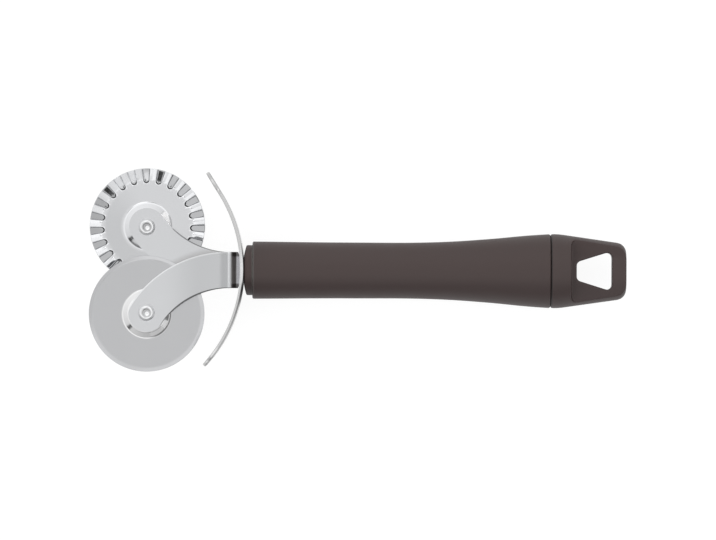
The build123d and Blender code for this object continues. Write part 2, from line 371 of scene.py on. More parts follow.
def brushed_steel(name, centre, colour, roughness, across="radius"):
    """Satin steel whose lines run round a vertical axis; across is radius or height."""
    finish, tree, shader = new_finish(name)
    heading, radius, height = distances(tree, centre)
    distance = radius if across == "radius" else height
    lines = add(tree, "ShaderNodeMath", {0: distance, 1: lines_per_metre}, operation="MULTIPLY")
    along = add(
        tree, "ShaderNodeVectorMath", {0: heading, "Scale": change_along_lines}, operation="SCALE"
    )
    line_axis = add(tree, "ShaderNodeCombineXYZ", {"Z": lines.outputs[0]})
    grid = add(
        tree, "ShaderNodeVectorMath", {0: along.outputs[0], 1: line_axis.outputs[0]}, operation="ADD"
    )
    hairlines = add(
        tree, "ShaderNodeTexNoise", {"Vector": grid.outputs[0], "Scale": 1, "Detail": 3}
    )
    place = add(tree, "ShaderNodeTexCoord").outputs["Object"]
    handling = add(
        tree, "ShaderNodeTexNoise", {"Vector": place, "Scale": handling_scale, "Detail": 3}
    )
    pale = tuple(min(1, part * hairline_pale) for part in colour)
    tone = add(
        tree,
        "ShaderNodeMix",
        {"Factor": hairlines.outputs["Fac"], "A": (*colour, 1), "B": (*pale, 1)},
        data_type="RGBA",
    )
    bump = add(
        tree,
        "ShaderNodeBump",
        {
            "Height": hairlines.outputs["Fac"],
            "Strength": hairline_strength,
            "Distance": hairline_depth,
        },
    )
    tree.links.new(tone.outputs["Result"], shader.inputs["Base Color"])
    low, high = roughness - roughness_drift, roughness + roughness_drift
    gloss = vary(tree, handling.outputs["Fac"], low, high)
    tree.links.new(gloss, shader.inputs["Roughness"])
    tree.links.new(bump.outputs["Normal"], shader.inputs["Normal"])
    shader.inputs["Metallic"].default_value = 1
    return finish


# %% [markdown]
# ## Marks on a finish
#
# A mark darkens or lightens a finish where a 0 to 1 pattern says so, and a polish changes its
# roughness there. The patterns are steps and bands along a distance, and the side that faces a
# heading. A few marks are the finish's own tone, but most are painted light and shade: painted
# reflections of what the steel mirrors, and painted shade where shade falls, while the tool is at
# rest. They are fixed to their piece, so a mark on a wheel turns with the wheel.

# %% Patterns, stains, painted light and polish
def band(tree, value, middle, reach):
    """A pattern that is 1 where a value is in the middle of a band and 0 beyond its reach."""
    offset = add(tree, "ShaderNodeMath", {0: value, 1: middle}, operation="SUBTRACT")
    away = add(tree, "ShaderNodeMath", {0: offset.outputs[0]}, operation="ABSOLUTE")
    fade = add(
        tree,
        "ShaderNodeMapRange",
        {"Value": away.outputs[0], 1: 0, 2: reach, 3: 1, 4: 0},
        interpolation_type="SMOOTHSTEP",
    )
    return fade.outputs["Result"]


def step(tree, value, low, high):
    """A pattern that goes from 0 at a low value to 1 at a high one."""
    rise = add(
        tree,
        "ShaderNodeMapRange",
        {"Value": value, 1: low, 2: high, 3: 0, 4: 1},
        interpolation_type="SMOOTHSTEP",
    )
    return rise.outputs["Result"]


def both(tree, first, second):
    """Where two patterns meet."""
    return add(tree, "ShaderNodeMath", {0: first, 1: second}, operation="MULTIPLY").outputs[0]


def between(tree, value, start, full, fade, end):
    """A pattern that rises from start to full, stays at 1 and falls from fade to end."""
    return both(tree, step(tree, value, start, full), step(tree, value, end, fade))


def along_and_aside(tree):
    """Sockets for a point's place along the handle and to the side of it."""
    place = add(tree, "ShaderNodeTexCoord").outputs["Object"]
    apart = add(tree, "ShaderNodeSeparateXYZ", {"Vector": place})
    return apart.outputs["X"], apart.outputs["Y"]


def heading_at(azimuth, off_zenith=90):
    """Unit direction at an azimuth and an angle from straight up, both in degrees."""
    turn, fall = math.radians(azimuth), math.radians(off_zenith)
    return Vector((math.sin(fall) * math.cos(turn), math.sin(fall) * math.sin(turn), math.cos(fall)))


def towards(tree, way, middle, inner, outer):
    """A pattern that is 1 near a direction and fades out between two angles in degrees from it."""
    near = add(tree, "ShaderNodeVectorMath", {0: way, 1: middle}, operation="DOT_PRODUCT")
    far_edge, near_edge = math.cos(math.radians(outer)), math.cos(math.radians(inner))
    return step(tree, near.outputs["Value"], far_edge, near_edge)


def stain_or_paint_light(finish, pattern, tone):
    """Multiply the base colour by a grey tone or by a colour where a pattern is 1: a stain, or
    painted light or shade.
    """
    colour = tone if isinstance(tone, tuple) else (tone, tone, tone)
    tree = finish.node_tree
    shader = next(node for node in tree.nodes if node.type == "BSDF_PRINCIPLED")
    before = shader.inputs["Base Color"].links[0].from_socket
    after = add(
        tree,
        "ShaderNodeMix",
        {"Factor": pattern, "A": before, "B": (*colour, 1)},
        data_type="RGBA",
        blend_type="MULTIPLY",
    )
    tree.links.new(after.outputs["Result"], shader.inputs["Base Color"])


def polish(finish, pattern, roughness):
    """Give the steel another roughness where a pattern is 1."""
    tree = finish.node_tree
    shader = next(node for node in tree.nodes if node.type == "BSDF_PRINCIPLED")
    before = shader.inputs["Roughness"].links[0].from_socket
    after = add(tree, "ShaderNodeMix", {"Factor": pattern, "A": before, "B": roughness})
    tree.links.new(after.outputs["Result"], shader.inputs["Roughness"])


# %% [markdown]
# ## Grip
#
# The grip is a hollow moulding, a little waisted in front and swelling towards the hand's heel.
# Its outline is a gentle curve, so it is drawn as a Bezier curve through six measured stations,
# turned into points, closed along the bore and spun about the handle's axis.

# %% Draw and spin the grip
grip_length = (grip_rear - grip_front) / mm
grip_outline = [
    (0, 9.9),
    (35.1, 9.66),
    (63.1, 9.87),
    (81.1, 10.97),
    (95.1, 12.27),
    (grip_length, 12.8),
]
stretch_points = 10
handle_steps = 128
grip_front_round = 0.5 * mm
grip_rear_round = 0.8 * mm
plug_bore = 7.45 * mm
spigot_bore = 10.05 * mm
spigot_depth = 12 * mm
bore_cone = 6 * mm


def grip_piece():
    clear_selection()
    bpy.ops.curve.primitive_bezier_curve_add()
    piece = bpy.context.object
    stations = piece.data.splines[0].bezier_points
    stations.add(len(grip_outline) - len(stations))
    for station, (along, radius) in zip(stations, grip_outline):
        station.co = (grip_front + along * mm, 0, axis_height + radius * mm)
        station.handle_left_type = station.handle_right_type = "AUTO"
    piece.data.resolution_u = stretch_points
    bpy.ops.object.convert(target="MESH")
    piece = name_piece("grip")
    bpy.ops.object.mode_set(mode="EDIT")
    pick("VERT", lambda place: place.x > grip_rear - weld)
    front_radius, rear_radius = grip_outline[0][1] * mm, grip_outline[-1][1] * mm
    inside = [
        (grip_rear, rear_radius),
        (grip_rear, spigot_bore),
        (grip_rear - spigot_depth, spigot_bore),
        (grip_rear - spigot_depth - bore_cone, plug_bore),
        (grip_front, plug_bore),
        (grip_front, front_radius),
    ]
    draw_line([(x, 0, axis_height + radius) for x, radius in inside])
    centre = (0, 0, axis_height)
    spin_round(centre, (1, 0, 0), handle_steps)
    round_ring(grip_front, front_radius, centre, (1, 0, 0), grip_front_round)
    round_ring(grip_rear, rear_radius, centre, (1, 0, 0), grip_rear_round)
    clear_selection()
    shade(piece)
    return piece


# %% [markdown]
# The side away from the light has painted shade, the front edge has a painted highlight, and the seam
# to the hanging end is dark. The hanging end has the same plastic, so it shares these marks.

# %% Mark the handle plastic and place the grip
# Painted shade for the lower side and painted highlights for the front edge and rim; the upper side
# of the flat is darker and the seam dark.
lower_side_painted_shade = (0.78, 0.71, 0.72)
front_edge_painted_highlight = (2.0, 2.9, 3.0)
front_rim_painted_highlight = (1.7, 1.9, 1.9)
seam_tone = 0.4
upper_flat_darker = (0.86, 0.78, 0.78)


def mark_handle(finish):
    """Painted shade below, a darker upper side on the flat, a painted highlight on the front edge and
    a dark seam.
    """
    tree = finish.node_tree
    along, aside = along_and_aside(tree)
    stain_or_paint_light(finish, step(tree, aside, -1.5 * mm, -6 * mm), lower_side_painted_shade)
    front_edge = step(tree, along, grip_front + 0.75 * mm, grip_front + 0.4 * mm)
    stain_or_paint_light(finish, front_edge, front_edge_painted_highlight)
    front_rim = step(tree, along, grip_front + 0.4 * mm, grip_front + 0.2 * mm)
    stain_or_paint_light(finish, front_rim, front_rim_painted_highlight)
    seam_start, seam_end = grip_rear - 0.3 * mm, grip_rear + 0.65 * mm
    fade = 0.2 * mm
    seam = between(tree, along, seam_start, seam_start + fade, seam_end - fade, seam_end)
    stain_or_paint_light(finish, seam, seam_tone)
    on_flat = step(tree, along, grip_rear + 7 * mm, grip_rear + 8.5 * mm)
    upper_side = step(tree, aside, 4 * mm, 6 * mm)
    stain_or_paint_light(finish, both(tree, on_flat, upper_side), upper_flat_darker)


mark_handle(handle_plastic)
join_tool(grip_piece(), "tool", "handle_body", handle_plastic)

# %% [markdown]
# ## Collar
#
# The stepped nose in front of the grip holds the two steel tangs. It is turned like the grip, and
# its slot is cut with a block, which is what the core of the mould does.
# The flat front falls away to both sides, clear of the guard. Edit mode has no operator that
# bends by a rule, so those points are moved in the mesh.

# %% Turn the collar and cut its slot
collar_radius = 8.65 * mm
collar_rings = [0, 3 * mm, 4.6 * mm, 5.5 * mm, 6.5 * mm, 7.5 * mm, collar_radius]
collar_crown = 0.85 * mm
crown_start = 4.6 * mm
crown_curve = 1.2
collar_front_round = 0.4 * mm
plug_end_round = 0.8 * mm
plug_radius = 7.4 * mm
plug_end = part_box("front_collar")[1].x
tang_width = 9.2 * mm
tang_sheet = 1.5 * mm
tang_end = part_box("plain_arm")[1].x
slot_play = 0.03 * mm


def cutting_block(low, high):
    """A block between two corners, to cut with."""
    clear_selection()
    middle = (Vector(low) + Vector(high)) / 2
    bpy.ops.mesh.primitive_cube_add(size=1, location=middle, scale=Vector(high) - Vector(low))
    return name_piece("cutter")


def cut(piece, cutter):
    """Cut a piece with another shape, which is then thrown away."""
    apply_modifier(piece, "BOOLEAN", operation="DIFFERENCE", object=cutter, solver="EXACT")
    bpy.data.objects.remove(cutter)


def crown_front(piece):
    """Let the flat front fall away towards both sides, clear of the guard."""
    for corner in piece.data.vertices:
        if corner.co.x < collar_front + mm:
            share = max(0, abs(corner.co.y) - crown_start) / (collar_radius - crown_start)
            corner.co.x += collar_crown * share**crown_curve


def collar_piece():
    outline = [(collar_front, radius) for radius in collar_rings]
    outline += [(grip_front, collar_radius), (grip_front, plug_radius)]
    outline += [(plug_end, plug_radius), (plug_end, 0)]
    rounds = {6: collar_front_round, 9: plug_end_round}
    piece = turned_about_x("collar", outline, rounds, handle_steps)
    crown_front(piece)
    half_width = tang_width / 2 + slot_play
    half_height = tang_sheet + slot_play
    low = (collar_front - mm, -half_width, axis_height - half_height)
    high = (tang_end + slot_play, half_width, axis_height + half_height)
    cut(piece, cutting_block(low, high))
    shade(piece)
    return piece


# %% [markdown]
# The collar's rear end has a painted highlight, a line of painted shade runs along its front, and its
# sides, which turn away from the light, and its underside have painted shade.

# %% Mark the collar plastic and place the collar
# Painted highlight at the rear end, painted shade at the front, on the sides and underneath.
collar_rear_painted_highlight = (2.4, 3.4, 3.4)
collar_front_painted_shade = 0.6
collar_sides_painted_shade = 0.72
collar_lower_painted_shade = (0.55, 0.5, 0.5)


def mark_collar(finish):
    """A painted highlight at the rear end, and painted shade along the front, on the sides and
    underneath.
    """
    tree = finish.node_tree
    along, across = along_and_aside(tree)
    rear_end = step(tree, along, grip_front - 0.45 * mm, grip_front - 0.1 * mm)
    stain_or_paint_light(finish, rear_end, collar_rear_painted_highlight)
    front_end = step(tree, along, collar_front + 0.55 * mm, collar_front + 0.25 * mm)
    stain_or_paint_light(finish, front_end, collar_front_painted_shade)
    aside = add(tree, "ShaderNodeMath", {0: across}, operation="ABSOLUTE").outputs[0]
    stain_or_paint_light(finish, step(tree, aside, 5.5 * mm, 7 * mm), collar_sides_painted_shade)
    stain_or_paint_light(finish, step(tree, across, -1 * mm, -6 * mm), collar_lower_painted_shade)


mark_collar(collar_plastic)
join_tool(collar_piece(), "tool", "front_collar", collar_plastic)

# %% [markdown]
# ## Hanging end
#
# A tapered cap snaps into the grip, with a shallow groove at the seam. Both faces are cut flat
# round a trapezium-shaped hole. All its edges are soft, as a moulding's are, so after the cuts
# the shape is remeshed finely and smoothed a little: that rounds every edge at once, where
# bevelling each one would take long.

# %% Turn, cut and soften the hanging end
tail_radius = 12.8 * mm
taper_start = 2.75 * mm
seam_gap = 0.35 * mm
seam_depth = 0.25 * mm
tail_end_radius = 9.45 * mm
flat_half = 5.3 * mm
flat_start = 6.9 * mm
flat_half_width = 11.0 * mm
flat_corner = 2.5 * mm
hole_front = 8.95 * mm
hole_rear = 21.15 * mm
hole_front_half = 3.1 * mm
hole_rear_half = 6.95 * mm
hole_front_corner = 1.1 * mm
hole_rear_corner = 2.4 * mm
taper_round = 1.4 * mm
tail_end_round = 3.0 * mm
soft_grain = 0.25 * mm
soft_passes = 10


def round_upright(block, x, width, segments):
    """Bevel the upright edges of a block at a place along the handle."""
    pick("EDGE", lambda place: abs(place.x - x) < weld)
    form = bmesh.from_edit_mesh(block.data)
    for edge in form.edges:
        upright = abs(edge.verts[0].co.z - edge.verts[1].co.z) > weld
        edge.select_set(edge.select and upright)
    bmesh.update_edit_mesh(block.data)
    bpy.ops.mesh.bevel(offset=width, segments=segments, affect="EDGES")


def flat_cutter(side):
    """Block with two round corners that cuts the flat on one side, 1 above or -1 below."""
    reach = 2 * tail_radius
    near = axis_height + side * flat_half
    far = axis_height + side * reach
    low = (grip_rear + flat_start, -flat_half_width, min(near, far))
    high = (tail_end + reach, flat_half_width, max(near, far))
    cutter = cutting_block(low, high)
    bpy.ops.object.mode_set(mode="EDIT")
    round_upright(cutter, low[0], flat_corner, segments=8)
    clear_selection()
    return cutter


def hole_cutter():
    """Trapezium-shaped block with round corners."""
    reach = 2 * tail_radius
    low = (grip_rear + hole_front, -hole_rear_half, axis_height - reach)
    high = (grip_rear + hole_rear, hole_rear_half, axis_height + reach)
    cutter = cutting_block(low, high)
    bpy.ops.object.mode_set(mode="EDIT")
    pick("VERT", lambda place: place.x < low[0] + weld)
    bpy.ops.transform.resize(
        value=(1, hole_front_half / hole_rear_half, 1), center_override=(low[0], 0, axis_height)
    )
    round_upright(cutter, low[0], hole_front_corner, segments=6)
    round_upright(cutter, high[0], hole_rear_corner, segments=6)
    clear_selection()
    return cutter


def hanging_end_piece():
    spigot_front = grip_rear - spigot_depth
    outline = [
        (grip_rear, 0),
        (grip_rear, plug_bore),
        (spigot_front, plug_bore),
        (spigot_front, spigot_bore),
        (grip_rear, spigot_bore),
        (grip_rear, tail_radius - seam_depth),
        (grip_rear + seam_gap, tail_radius - seam_depth),
        (grip_rear + seam_gap, tail_radius),
        (grip_rear + taper_start, tail_radius),
        (tail_end, tail_end_radius),
        (tail_end, 0),
    ]
    rounds = {8: taper_round, 9: tail_end_round}
    piece = turned_about_x("hanging_end", outline, rounds, handle_steps)
    for cutter in (flat_cutter(1), flat_cutter(-1), hole_cutter()):
        cut(piece, cutter)
    apply_modifier(piece, "REMESH", mode="VOXEL", voxel_size=soft_grain)
    apply_modifier(piece, "SMOOTH", factor=0.5, iterations=soft_passes)
    shade(piece, sharpest=60)
    return piece


join_tool(hanging_end_piece(), "tool", "end_cap", handle_plastic)

# %% [markdown]
# ## Guard
#
# The guard starts as a flat strip with round corners and a slot for the tangs, and is then bent
# over a former. The same order works here: bevel the corners of a plane, cut it into narrow
# bands so that it can bend, with cuts at the corners' points and at the slot, take out the slot,
# bend it with a Simple Deform modifier, and only then give it the thickness of the sheet and
# eased edges. The former doesn't reach the upper end, so the bend has a limit there and leaves
# the last stretch straight. The finished guard sits very slightly turned on its tangs.

# %% Cut and bend the guard
guard_outer_radius = 49.4 * mm
guard_sheet = 1.25 * mm
guard_turn = math.radians(-0.3)
guard_angle = math.radians(85.5)
guard_corner = 8 * mm
guard_edge = 0.3 * mm
eased_angle = math.radians(50)
straight_end = 9 * mm
guard_gap = 0.02 * mm
end_band = 0.8 * mm
side_bands = 22
slot_bands = 8
guard_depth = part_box("guard")[1].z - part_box("guard")[0].z
guard_radius = guard_outer_radius - guard_sheet / 2
guard_length = guard_radius * guard_angle
bent_share = 1 - straight_end / guard_length
guard_play = 0.1 * mm
guard_slot = (tang_width / 2 + guard_play, tang_sheet + guard_play)


def even_places(start, end, count):
    """Places that share a length evenly, with its start and without its end."""
    return [start + (end - start) * number / count for number in range(count)]


def slice_flat(places, normal):
    """Cut the flat blank along straight lines at these places."""
    for place in places:
        bpy.ops.mesh.select_all(action="SELECT")
        bpy.ops.mesh.bisect(plane_co=Vector(normal) * place, plane_no=normal)


def guard_piece():
    clear_selection()
    bpy.ops.mesh.primitive_plane_add(size=1, rotation=(math.pi / 2, 0, 0))
    bpy.context.object.scale = (guard_length, guard_depth, 1)
    piece = name_piece("finger_guard")
    bpy.ops.object.mode_set(mode="EDIT")
    bpy.ops.mesh.select_all(action="SELECT")
    bpy.ops.mesh.bevel(offset=guard_corner, segments=10, affect="VERTICES")
    half_width, half_height = guard_slot
    straight = guard_length / 2 - guard_corner
    at_corners = {round(point.co.x, 6) for point in bmesh.from_edit_mesh(piece.data).verts}
    inner_places = [place for place in at_corners if abs(place) < guard_length / 2 - end_band]
    slice_flat(inner_places, (1, 0, 0))
    for side in (-1, 1):
        slice_flat(even_places(side * half_width, side * straight, side_bands), (1, 0, 0))
    slice_flat(even_places(-half_width, half_width, slot_bands)[1:], (1, 0, 0))
    slice_flat([-half_height, half_height], (0, 0, 1))

    def in_slot(place):
        return abs(place.x) < half_width + weld and abs(place.z) < half_height + weld

    pick("FACE", in_slot)
    bpy.ops.mesh.delete(type="FACE")
    clear_selection()
    apply_modifier(
        piece,
        "SIMPLE_DEFORM",
        deform_method="BEND",
        deform_axis="Z",
        limits=(0, bent_share),
        angle=guard_angle * bent_share,
    )
    piece.rotation_euler.z = math.pi / 2 + guard_turn
    piece.location = (collar_front - guard_gap - guard_sheet / 2, 0, axis_height)
    bpy.ops.object.transform_apply(location=True, rotation=True, scale=True)
    apply_modifier(piece, "SOLIDIFY", thickness=guard_sheet, offset=0, use_even_offset=True)
    apply_modifier(piece, "BEVEL", width=guard_edge, segments=3, angle_limit=eased_angle)
    shade(piece)
    return piece


# %% [markdown]
# The lines of its finish run along the strip. Its marks are painted light and shade, and lie across
# the thickness of the sheet, so a point's depth in the sheet is needed: its distance from the bend's
# centre, or, past the bend, its distance along the straight end's normal.

# %% Finish the guard
# The tones below are painted light and shade: a painted highlight on the inner face and in the middle
# of the bend, and painted shade on the edges, the outer face, beside the collar, below the bend and
# at both ends.
guard_colour = (0.66, 0.66, 0.66)
guard_roughness = 0.18
inner_face_painted_highlight = 1.45
inner_face_roughness = 0.5
inner_edge_painted_shade = 0.74
outer_face_painted_shade = 0.66
at_collar_painted_shade = (0.35, 0.34, 0.34)
lower_half_painted_shade = 0.68
below_bend_painted_shade = 0.62
dark_edge_painted_shade = (0.13, 0.125, 0.125)
dark_edge_roughness = 0.8
middle_painted_highlight = (1.22, 1.22, 1.23)
upper_side_painted_shade = 0.94
upper_end_painted_shade = 0.8
lower_end_painted_shade = 0.7


def guard_sheet_radius(tree, centre):
    """Socket for a point's depth in the bent sheet, measured from the bend's centre."""
    heading, bend_radius = distances(tree, centre)[:2]
    end_azimuth = math.degrees(guard_angle * (bent_share - 0.5) + guard_turn)
    end_normal = heading_at(end_azimuth)
    facing = add(
        tree, "ShaderNodeVectorMath", {0: heading, 1: end_normal}, operation="DOT_PRODUCT"
    )
    end_radius = both(tree, bend_radius, facing.outputs["Value"])
    past_bend = towards(tree, heading, heading_at(end_azimuth + 90), 89.9, 90)
    joined = add(tree, "ShaderNodeMix", {"Factor": past_bend, "A": bend_radius, "B": end_radius})
    return joined.outputs["Result"]


def mark_guard_sheet(finish, radius, aside):
    """Painted light across the sheet: a painted highlight on the inner face, and painted shade on the
    inner edge and the outer face.
    """
    tree = finish.node_tree
    inner, outer = guard_outer_radius - guard_sheet, guard_outer_radius
    inner_face = step(tree, radius, inner + 0.1 * mm, inner + 0.02 * mm)
    stain_or_paint_light(finish, inner_face, inner_face_painted_highlight)
    polish(finish, inner_face, inner_face_roughness)
    stain_or_paint_light(finish, band(tree, radius, inner + 0.2 * mm, 0.25 * mm), inner_edge_painted_shade)
    outer_face = step(tree, radius, outer - 0.35 * mm, outer - 0.1 * mm)
    stain_or_paint_light(finish, outer_face, outer_face_painted_shade)
    at_collar = between(tree, aside, -6 * mm, -3 * mm, 7 * mm, 10.5 * mm)
    stain_or_paint_light(finish, both(tree, outer_face, at_collar), at_collar_painted_shade)
    outer_half = step(tree, radius, outer - 0.75 * mm, outer - 0.4 * mm)
    lower_side = step(tree, aside, -2 * mm, -8 * mm)
    stain_or_paint_light(finish, both(tree, outer_half, lower_side), lower_half_painted_shade)
    below_bend = between(tree, aside, -24 * mm, -12 * mm, -11 * mm, -6 * mm)
    stain_or_paint_light(finish, both(tree, outer_half, below_bend), below_bend_painted_shade)
    outer_edge = step(tree, radius, outer - 0.55 * mm, outer - 0.3 * mm)
    below_collar = between(tree, aside, -14 * mm, -6.5 * mm, -6 * mm, -3 * mm)
    dark_edge = both(tree, outer_edge, below_collar)
    stain_or_paint_light(finish, dark_edge, dark_edge_painted_shade)
    polish(finish, dark_edge, dark_edge_roughness)


def guard_finish():
    """Satin steel with a painted highlight in the middle of the bend and painted shade towards both
    ends.
    """
    outwards = Vector((math.cos(guard_turn), math.sin(guard_turn), 0))
    apex = Vector((collar_front - guard_gap, 0, axis_height))
    centre = apex - guard_outer_radius * outwards
    finish = brushed_steel("guard_steel_satin", centre, guard_colour, guard_roughness, "height")
    tree = finish.node_tree
    aside = along_and_aside(tree)[1]
    mark_guard_sheet(finish, guard_sheet_radius(tree, centre), aside)
    stain_or_paint_light(finish, band(tree, aside, 0, 9 * mm), middle_painted_highlight)
    stain_or_paint_light(finish, step(tree, aside, 6 * mm, 12 * mm), upper_side_painted_shade)
    stain_or_paint_light(finish, step(tree, aside, 25 * mm, 28.5 * mm), upper_end_painted_shade)
    stain_or_paint_light(finish, step(tree, aside, -31.6 * mm, -32.6 * mm), lower_end_painted_shade)
    return finish


join_tool(guard_piece(), "tool", "guard", guard_finish())

# %% [markdown]
# ## Arms
#
# Each arm is one strip. A straight line across the neck is spun about the arc's centre to make
# the curved part, half of its last line is spun about the hub to make the round end, and the
# neck is extruded the other way: down the joggle and along the tang. The inner edge of the curve
# bellies out a little, as the stamping does. The bend lines are bevelled, the strip gets its
# thickness, the rivet hole and the shoulders are cut and the edges eased.

# %% Draw the front arm
arm_width = 12.5 * mm
arm_sheet = tang_sheet
arm_arc_radius = 33.6 * mm
outer_arc = arm_arc_radius + arm_width / 2
inner_arc = arm_arc_radius - arm_width / 2
arm_offset = 2.0 * mm
arm_edge = 0.4 * mm
arm_belly = 0.3 * mm
arc_steps = 28
round_end_steps = 24
arm_hole_radius = 2.0 * mm
arm_hole_steps = 48
joggle_start = collar_front - 5.55 * mm
joggle_end = collar_front - 3.23 * mm
shoulder_start = collar_front - 2.1 * mm
shoulder_end = collar_front - 1.34 * mm
bend_inside = 0.22 * mm
bend_outside = 0.78 * mm
hub_offset = abs(hubs["plain_wheel"].y)
arm_sweep = math.acos(1 - hub_offset / arm_arc_radius)


def shoulder_cutter(side):
    """Block with a slanted front that narrows the strip to its tang on one side."""
    near, far = tang_width / 2, arm_width
    low = (shoulder_end, min(side * near, side * far), axis_height - far)
    high = (tang_end + far, max(side * near, side * far), axis_height + far)
    cutter = cutting_block(low, high)
    bpy.ops.object.mode_set(mode="EDIT")
    slant = (shoulder_end - shoulder_start) / (arm_width / 2 - near)
    pick("VERT", lambda place: place.x < low[0] + weld and abs(place.y) > far - weld)
    bpy.ops.transform.translate(value=((near - far) * slant, 0, 0))
    clear_selection()
    return cutter


def widen_inside(arc_centre):
    """Let the strip's inner edge belly out a little between the neck and the hub."""
    for number in range(1, arc_steps):
        share = number / arc_steps
        outwards = heading_at(90 + math.degrees(arm_sweep) * share)
        place = arc_centre + inner_arc * outwards
        pick("VERT", lambda corner: (corner - place).length < weld)
        bpy.ops.transform.translate(value=-arm_belly * math.sin(math.pi * share) * outwards)


def arm_piece():
    half = arm_width / 2
    height = axis_height + arm_offset
    hub = Vector((hubs["plain_wheel"].x, hubs["plain_wheel"].y, height))
    arc_centre = Vector((joggle_start, -arm_arc_radius, height))
    across = [(joggle_start, half * share, height) for share in (-1, -0.5, 0, 0.5, 1)]
    piece = begin_point("front_arm", across[0])
    draw_line(across)
    bpy.ops.mesh.select_all(action="SELECT")
    bpy.ops.mesh.spin(steps=arc_steps, angle=-arm_sweep, center=arc_centre, axis=(0, 0, 1))
    outwards = (hub - arc_centre).normalized()

    def outer_half(place):
        away = place - hub
        beside = away - away.dot(outwards) * outwards
        return beside.length < weld and -weld < away.dot(outwards) < half + weld

    pick("EDGE", outer_half)
    bpy.ops.mesh.spin(steps=round_end_steps, angle=-math.pi, center=hub, axis=(0, 0, 1))
    pick("EDGE", lambda place: abs(place.x - joggle_start) < weld)
    down = (joggle_end - joggle_start, 0, -arm_offset)
    bpy.ops.mesh.extrude_region_move(TRANSFORM_OT_translate={"value": down})
    tang = (tang_end - joggle_end, 0, 0)
    bpy.ops.mesh.extrude_region_move(TRANSFORM_OT_translate={"value": tang})
    bpy.ops.mesh.select_all(action="SELECT")
    bpy.ops.mesh.remove_doubles(threshold=weld)
    bpy.ops.mesh.normals_make_consistent(inside=False)
    widen_inside(arc_centre)
    for place_x, width in ((joggle_start, bend_inside), (joggle_end, bend_outside)):
        pick("EDGE", lambda place: abs(place.x - place_x) < weld)
        bpy.ops.mesh.bevel(offset=width, segments=4, affect="EDGES")
    clear_selection()
    upwards = sum(face.normal.z for face in piece.data.polygons) > 0
    apply_modifier(
        piece, "SOLIDIFY", thickness=arm_sheet, offset=1 if upwards else -1, use_even_offset=True
    )
    bpy.ops.mesh.primitive_cylinder_add(
        vertices=arm_hole_steps, radius=arm_hole_radius, depth=6 * arm_sheet, location=hub
    )
    cut(piece, name_piece("cutter"))
    for side in (-1, 1):
        cut(piece, shoulder_cutter(side))
    apply_modifier(piece, "BEVEL", width=arm_edge, segments=3, angle_limit=eased_angle)
    shade(piece)
    return piece


front_arm = arm_piece()
print("front arm box in mm:", [round(side / mm, 2) for side in front_arm.dimensions])

# %% [markdown]
# The second arm is the same stamping turned over about the handle's axis, so it is a copy with
# its own mesh, turned half a turn.

# %% Turn a copy over for the rear arm
def copied(piece, name, move, turn=0):
    """A copy with its own mesh, turned about the X axis and then moved."""
    select_only(piece)
    bpy.ops.object.duplicate()
    copy = bpy.context.object
    copy.location = move
    copy.rotation_euler.x = turn
    return name_piece(name)


rear_arm = copied(front_arm, "rear_arm", (0, 0, 2 * axis_height), turn=math.pi)
print("rear arm box in mm:", [round(side / mm, 2) for side in rear_arm.dimensions])

# %% [markdown]
# The lines of the finish follow the curve. The inner rim has a line of painted shade, the outer edge
# of the front arm a painted highlight, and the rear arm painted shade beside it, where the front arm
# shades it. The joggle slopes away from the light, so it and the neck before it have painted shade
# too.

# %% Finish both arms
# Most tones below are painted: painted shade on the neck, the joggle and its corners, and beside the
# front arm, and a painted highlight on the front arm's outer edge. The tang is darker.
arm_colour = (0.672, 0.68, 0.694)
arm_roughness = 0.15
rim_line_fade = 0.3 * mm
neck_painted_shade = 0.81
joggle_painted_shade = (0.17, 0.155, 0.15)
tang_tone = (0.68, 0.67, 0.69)
joggle_corner_painted_shade = (0.3, 0.29, 0.28)
edge_painted_highlight = (1.25, 1.25, 1.24)
beside_arm_painted_shade = (0.8, 0.79, 0.78)


def mark_joggle(finish):
    """Painted shade on the neck, on the joggle's slope and, darker, at its corners, and a grey tang.
    """
    tree = finish.node_tree
    along, across = along_and_aside(tree)
    aside = add(tree, "ShaderNodeMath", {0: across}, operation="ABSOLUTE").outputs[0]
    neck = between(
        tree,
        along,
        joggle_start - 3.4 * mm,
        joggle_start - 1.7 * mm,
        joggle_start - 0.3 * mm,
        joggle_start + 0.25 * mm,
    )
    stain_or_paint_light(finish, neck, neck_painted_shade)
    slope = between(
        tree,
        along,
        joggle_start + 0.4 * mm,
        joggle_start + 1.65 * mm,
        joggle_end + 0.25 * mm,
        joggle_end + 1.0 * mm,
    )
    stain_or_paint_light(finish, slope, joggle_painted_shade)
    tang_face = step(tree, along, joggle_end + 0.3 * mm, joggle_end + 0.85 * mm)
    stain_or_paint_light(finish, tang_face, tang_tone)
    past_bend = step(tree, along, joggle_start + 0.9 * mm, joggle_start + 1.7 * mm)
    at_sides = step(tree, aside, 4.3 * mm, 5.1 * mm)
    stain_or_paint_light(finish, both(tree, past_bend, at_sides), joggle_corner_painted_shade)


def arm_finish(wheel, side, painted_shade_to_neck, line_start, line_full, line_width, rim_painted_shade):
    """Satin steel with painted shade towards the neck, and a line of painted shade along the inner
    rim that starts past the boss.
    """
    centre = (joggle_start, side * arm_arc_radius, 0)
    finish = brushed_steel(wheel + "_arm_steel_satin", centre, arm_colour, arm_roughness)
    tree = finish.node_tree
    radius = distances(tree, centre)[1]
    along = along_and_aside(tree)[0]
    hub_x = hubs[wheel + "_wheel"].x
    past_boss = step(tree, along, hub_x + line_start, hub_x + line_full)
    line_end = inner_arc + line_width
    rim_line = step(tree, radius, line_end, line_end - rim_line_fade)
    stain_or_paint_light(finish, both(tree, rim_line, past_boss), rim_painted_shade)
    near_neck = step(tree, along, joggle_start - 24 * mm, joggle_start - 9 * mm)
    stain_or_paint_light(finish, near_neck, painted_shade_to_neck)
    mark_joggle(finish)
    return finish


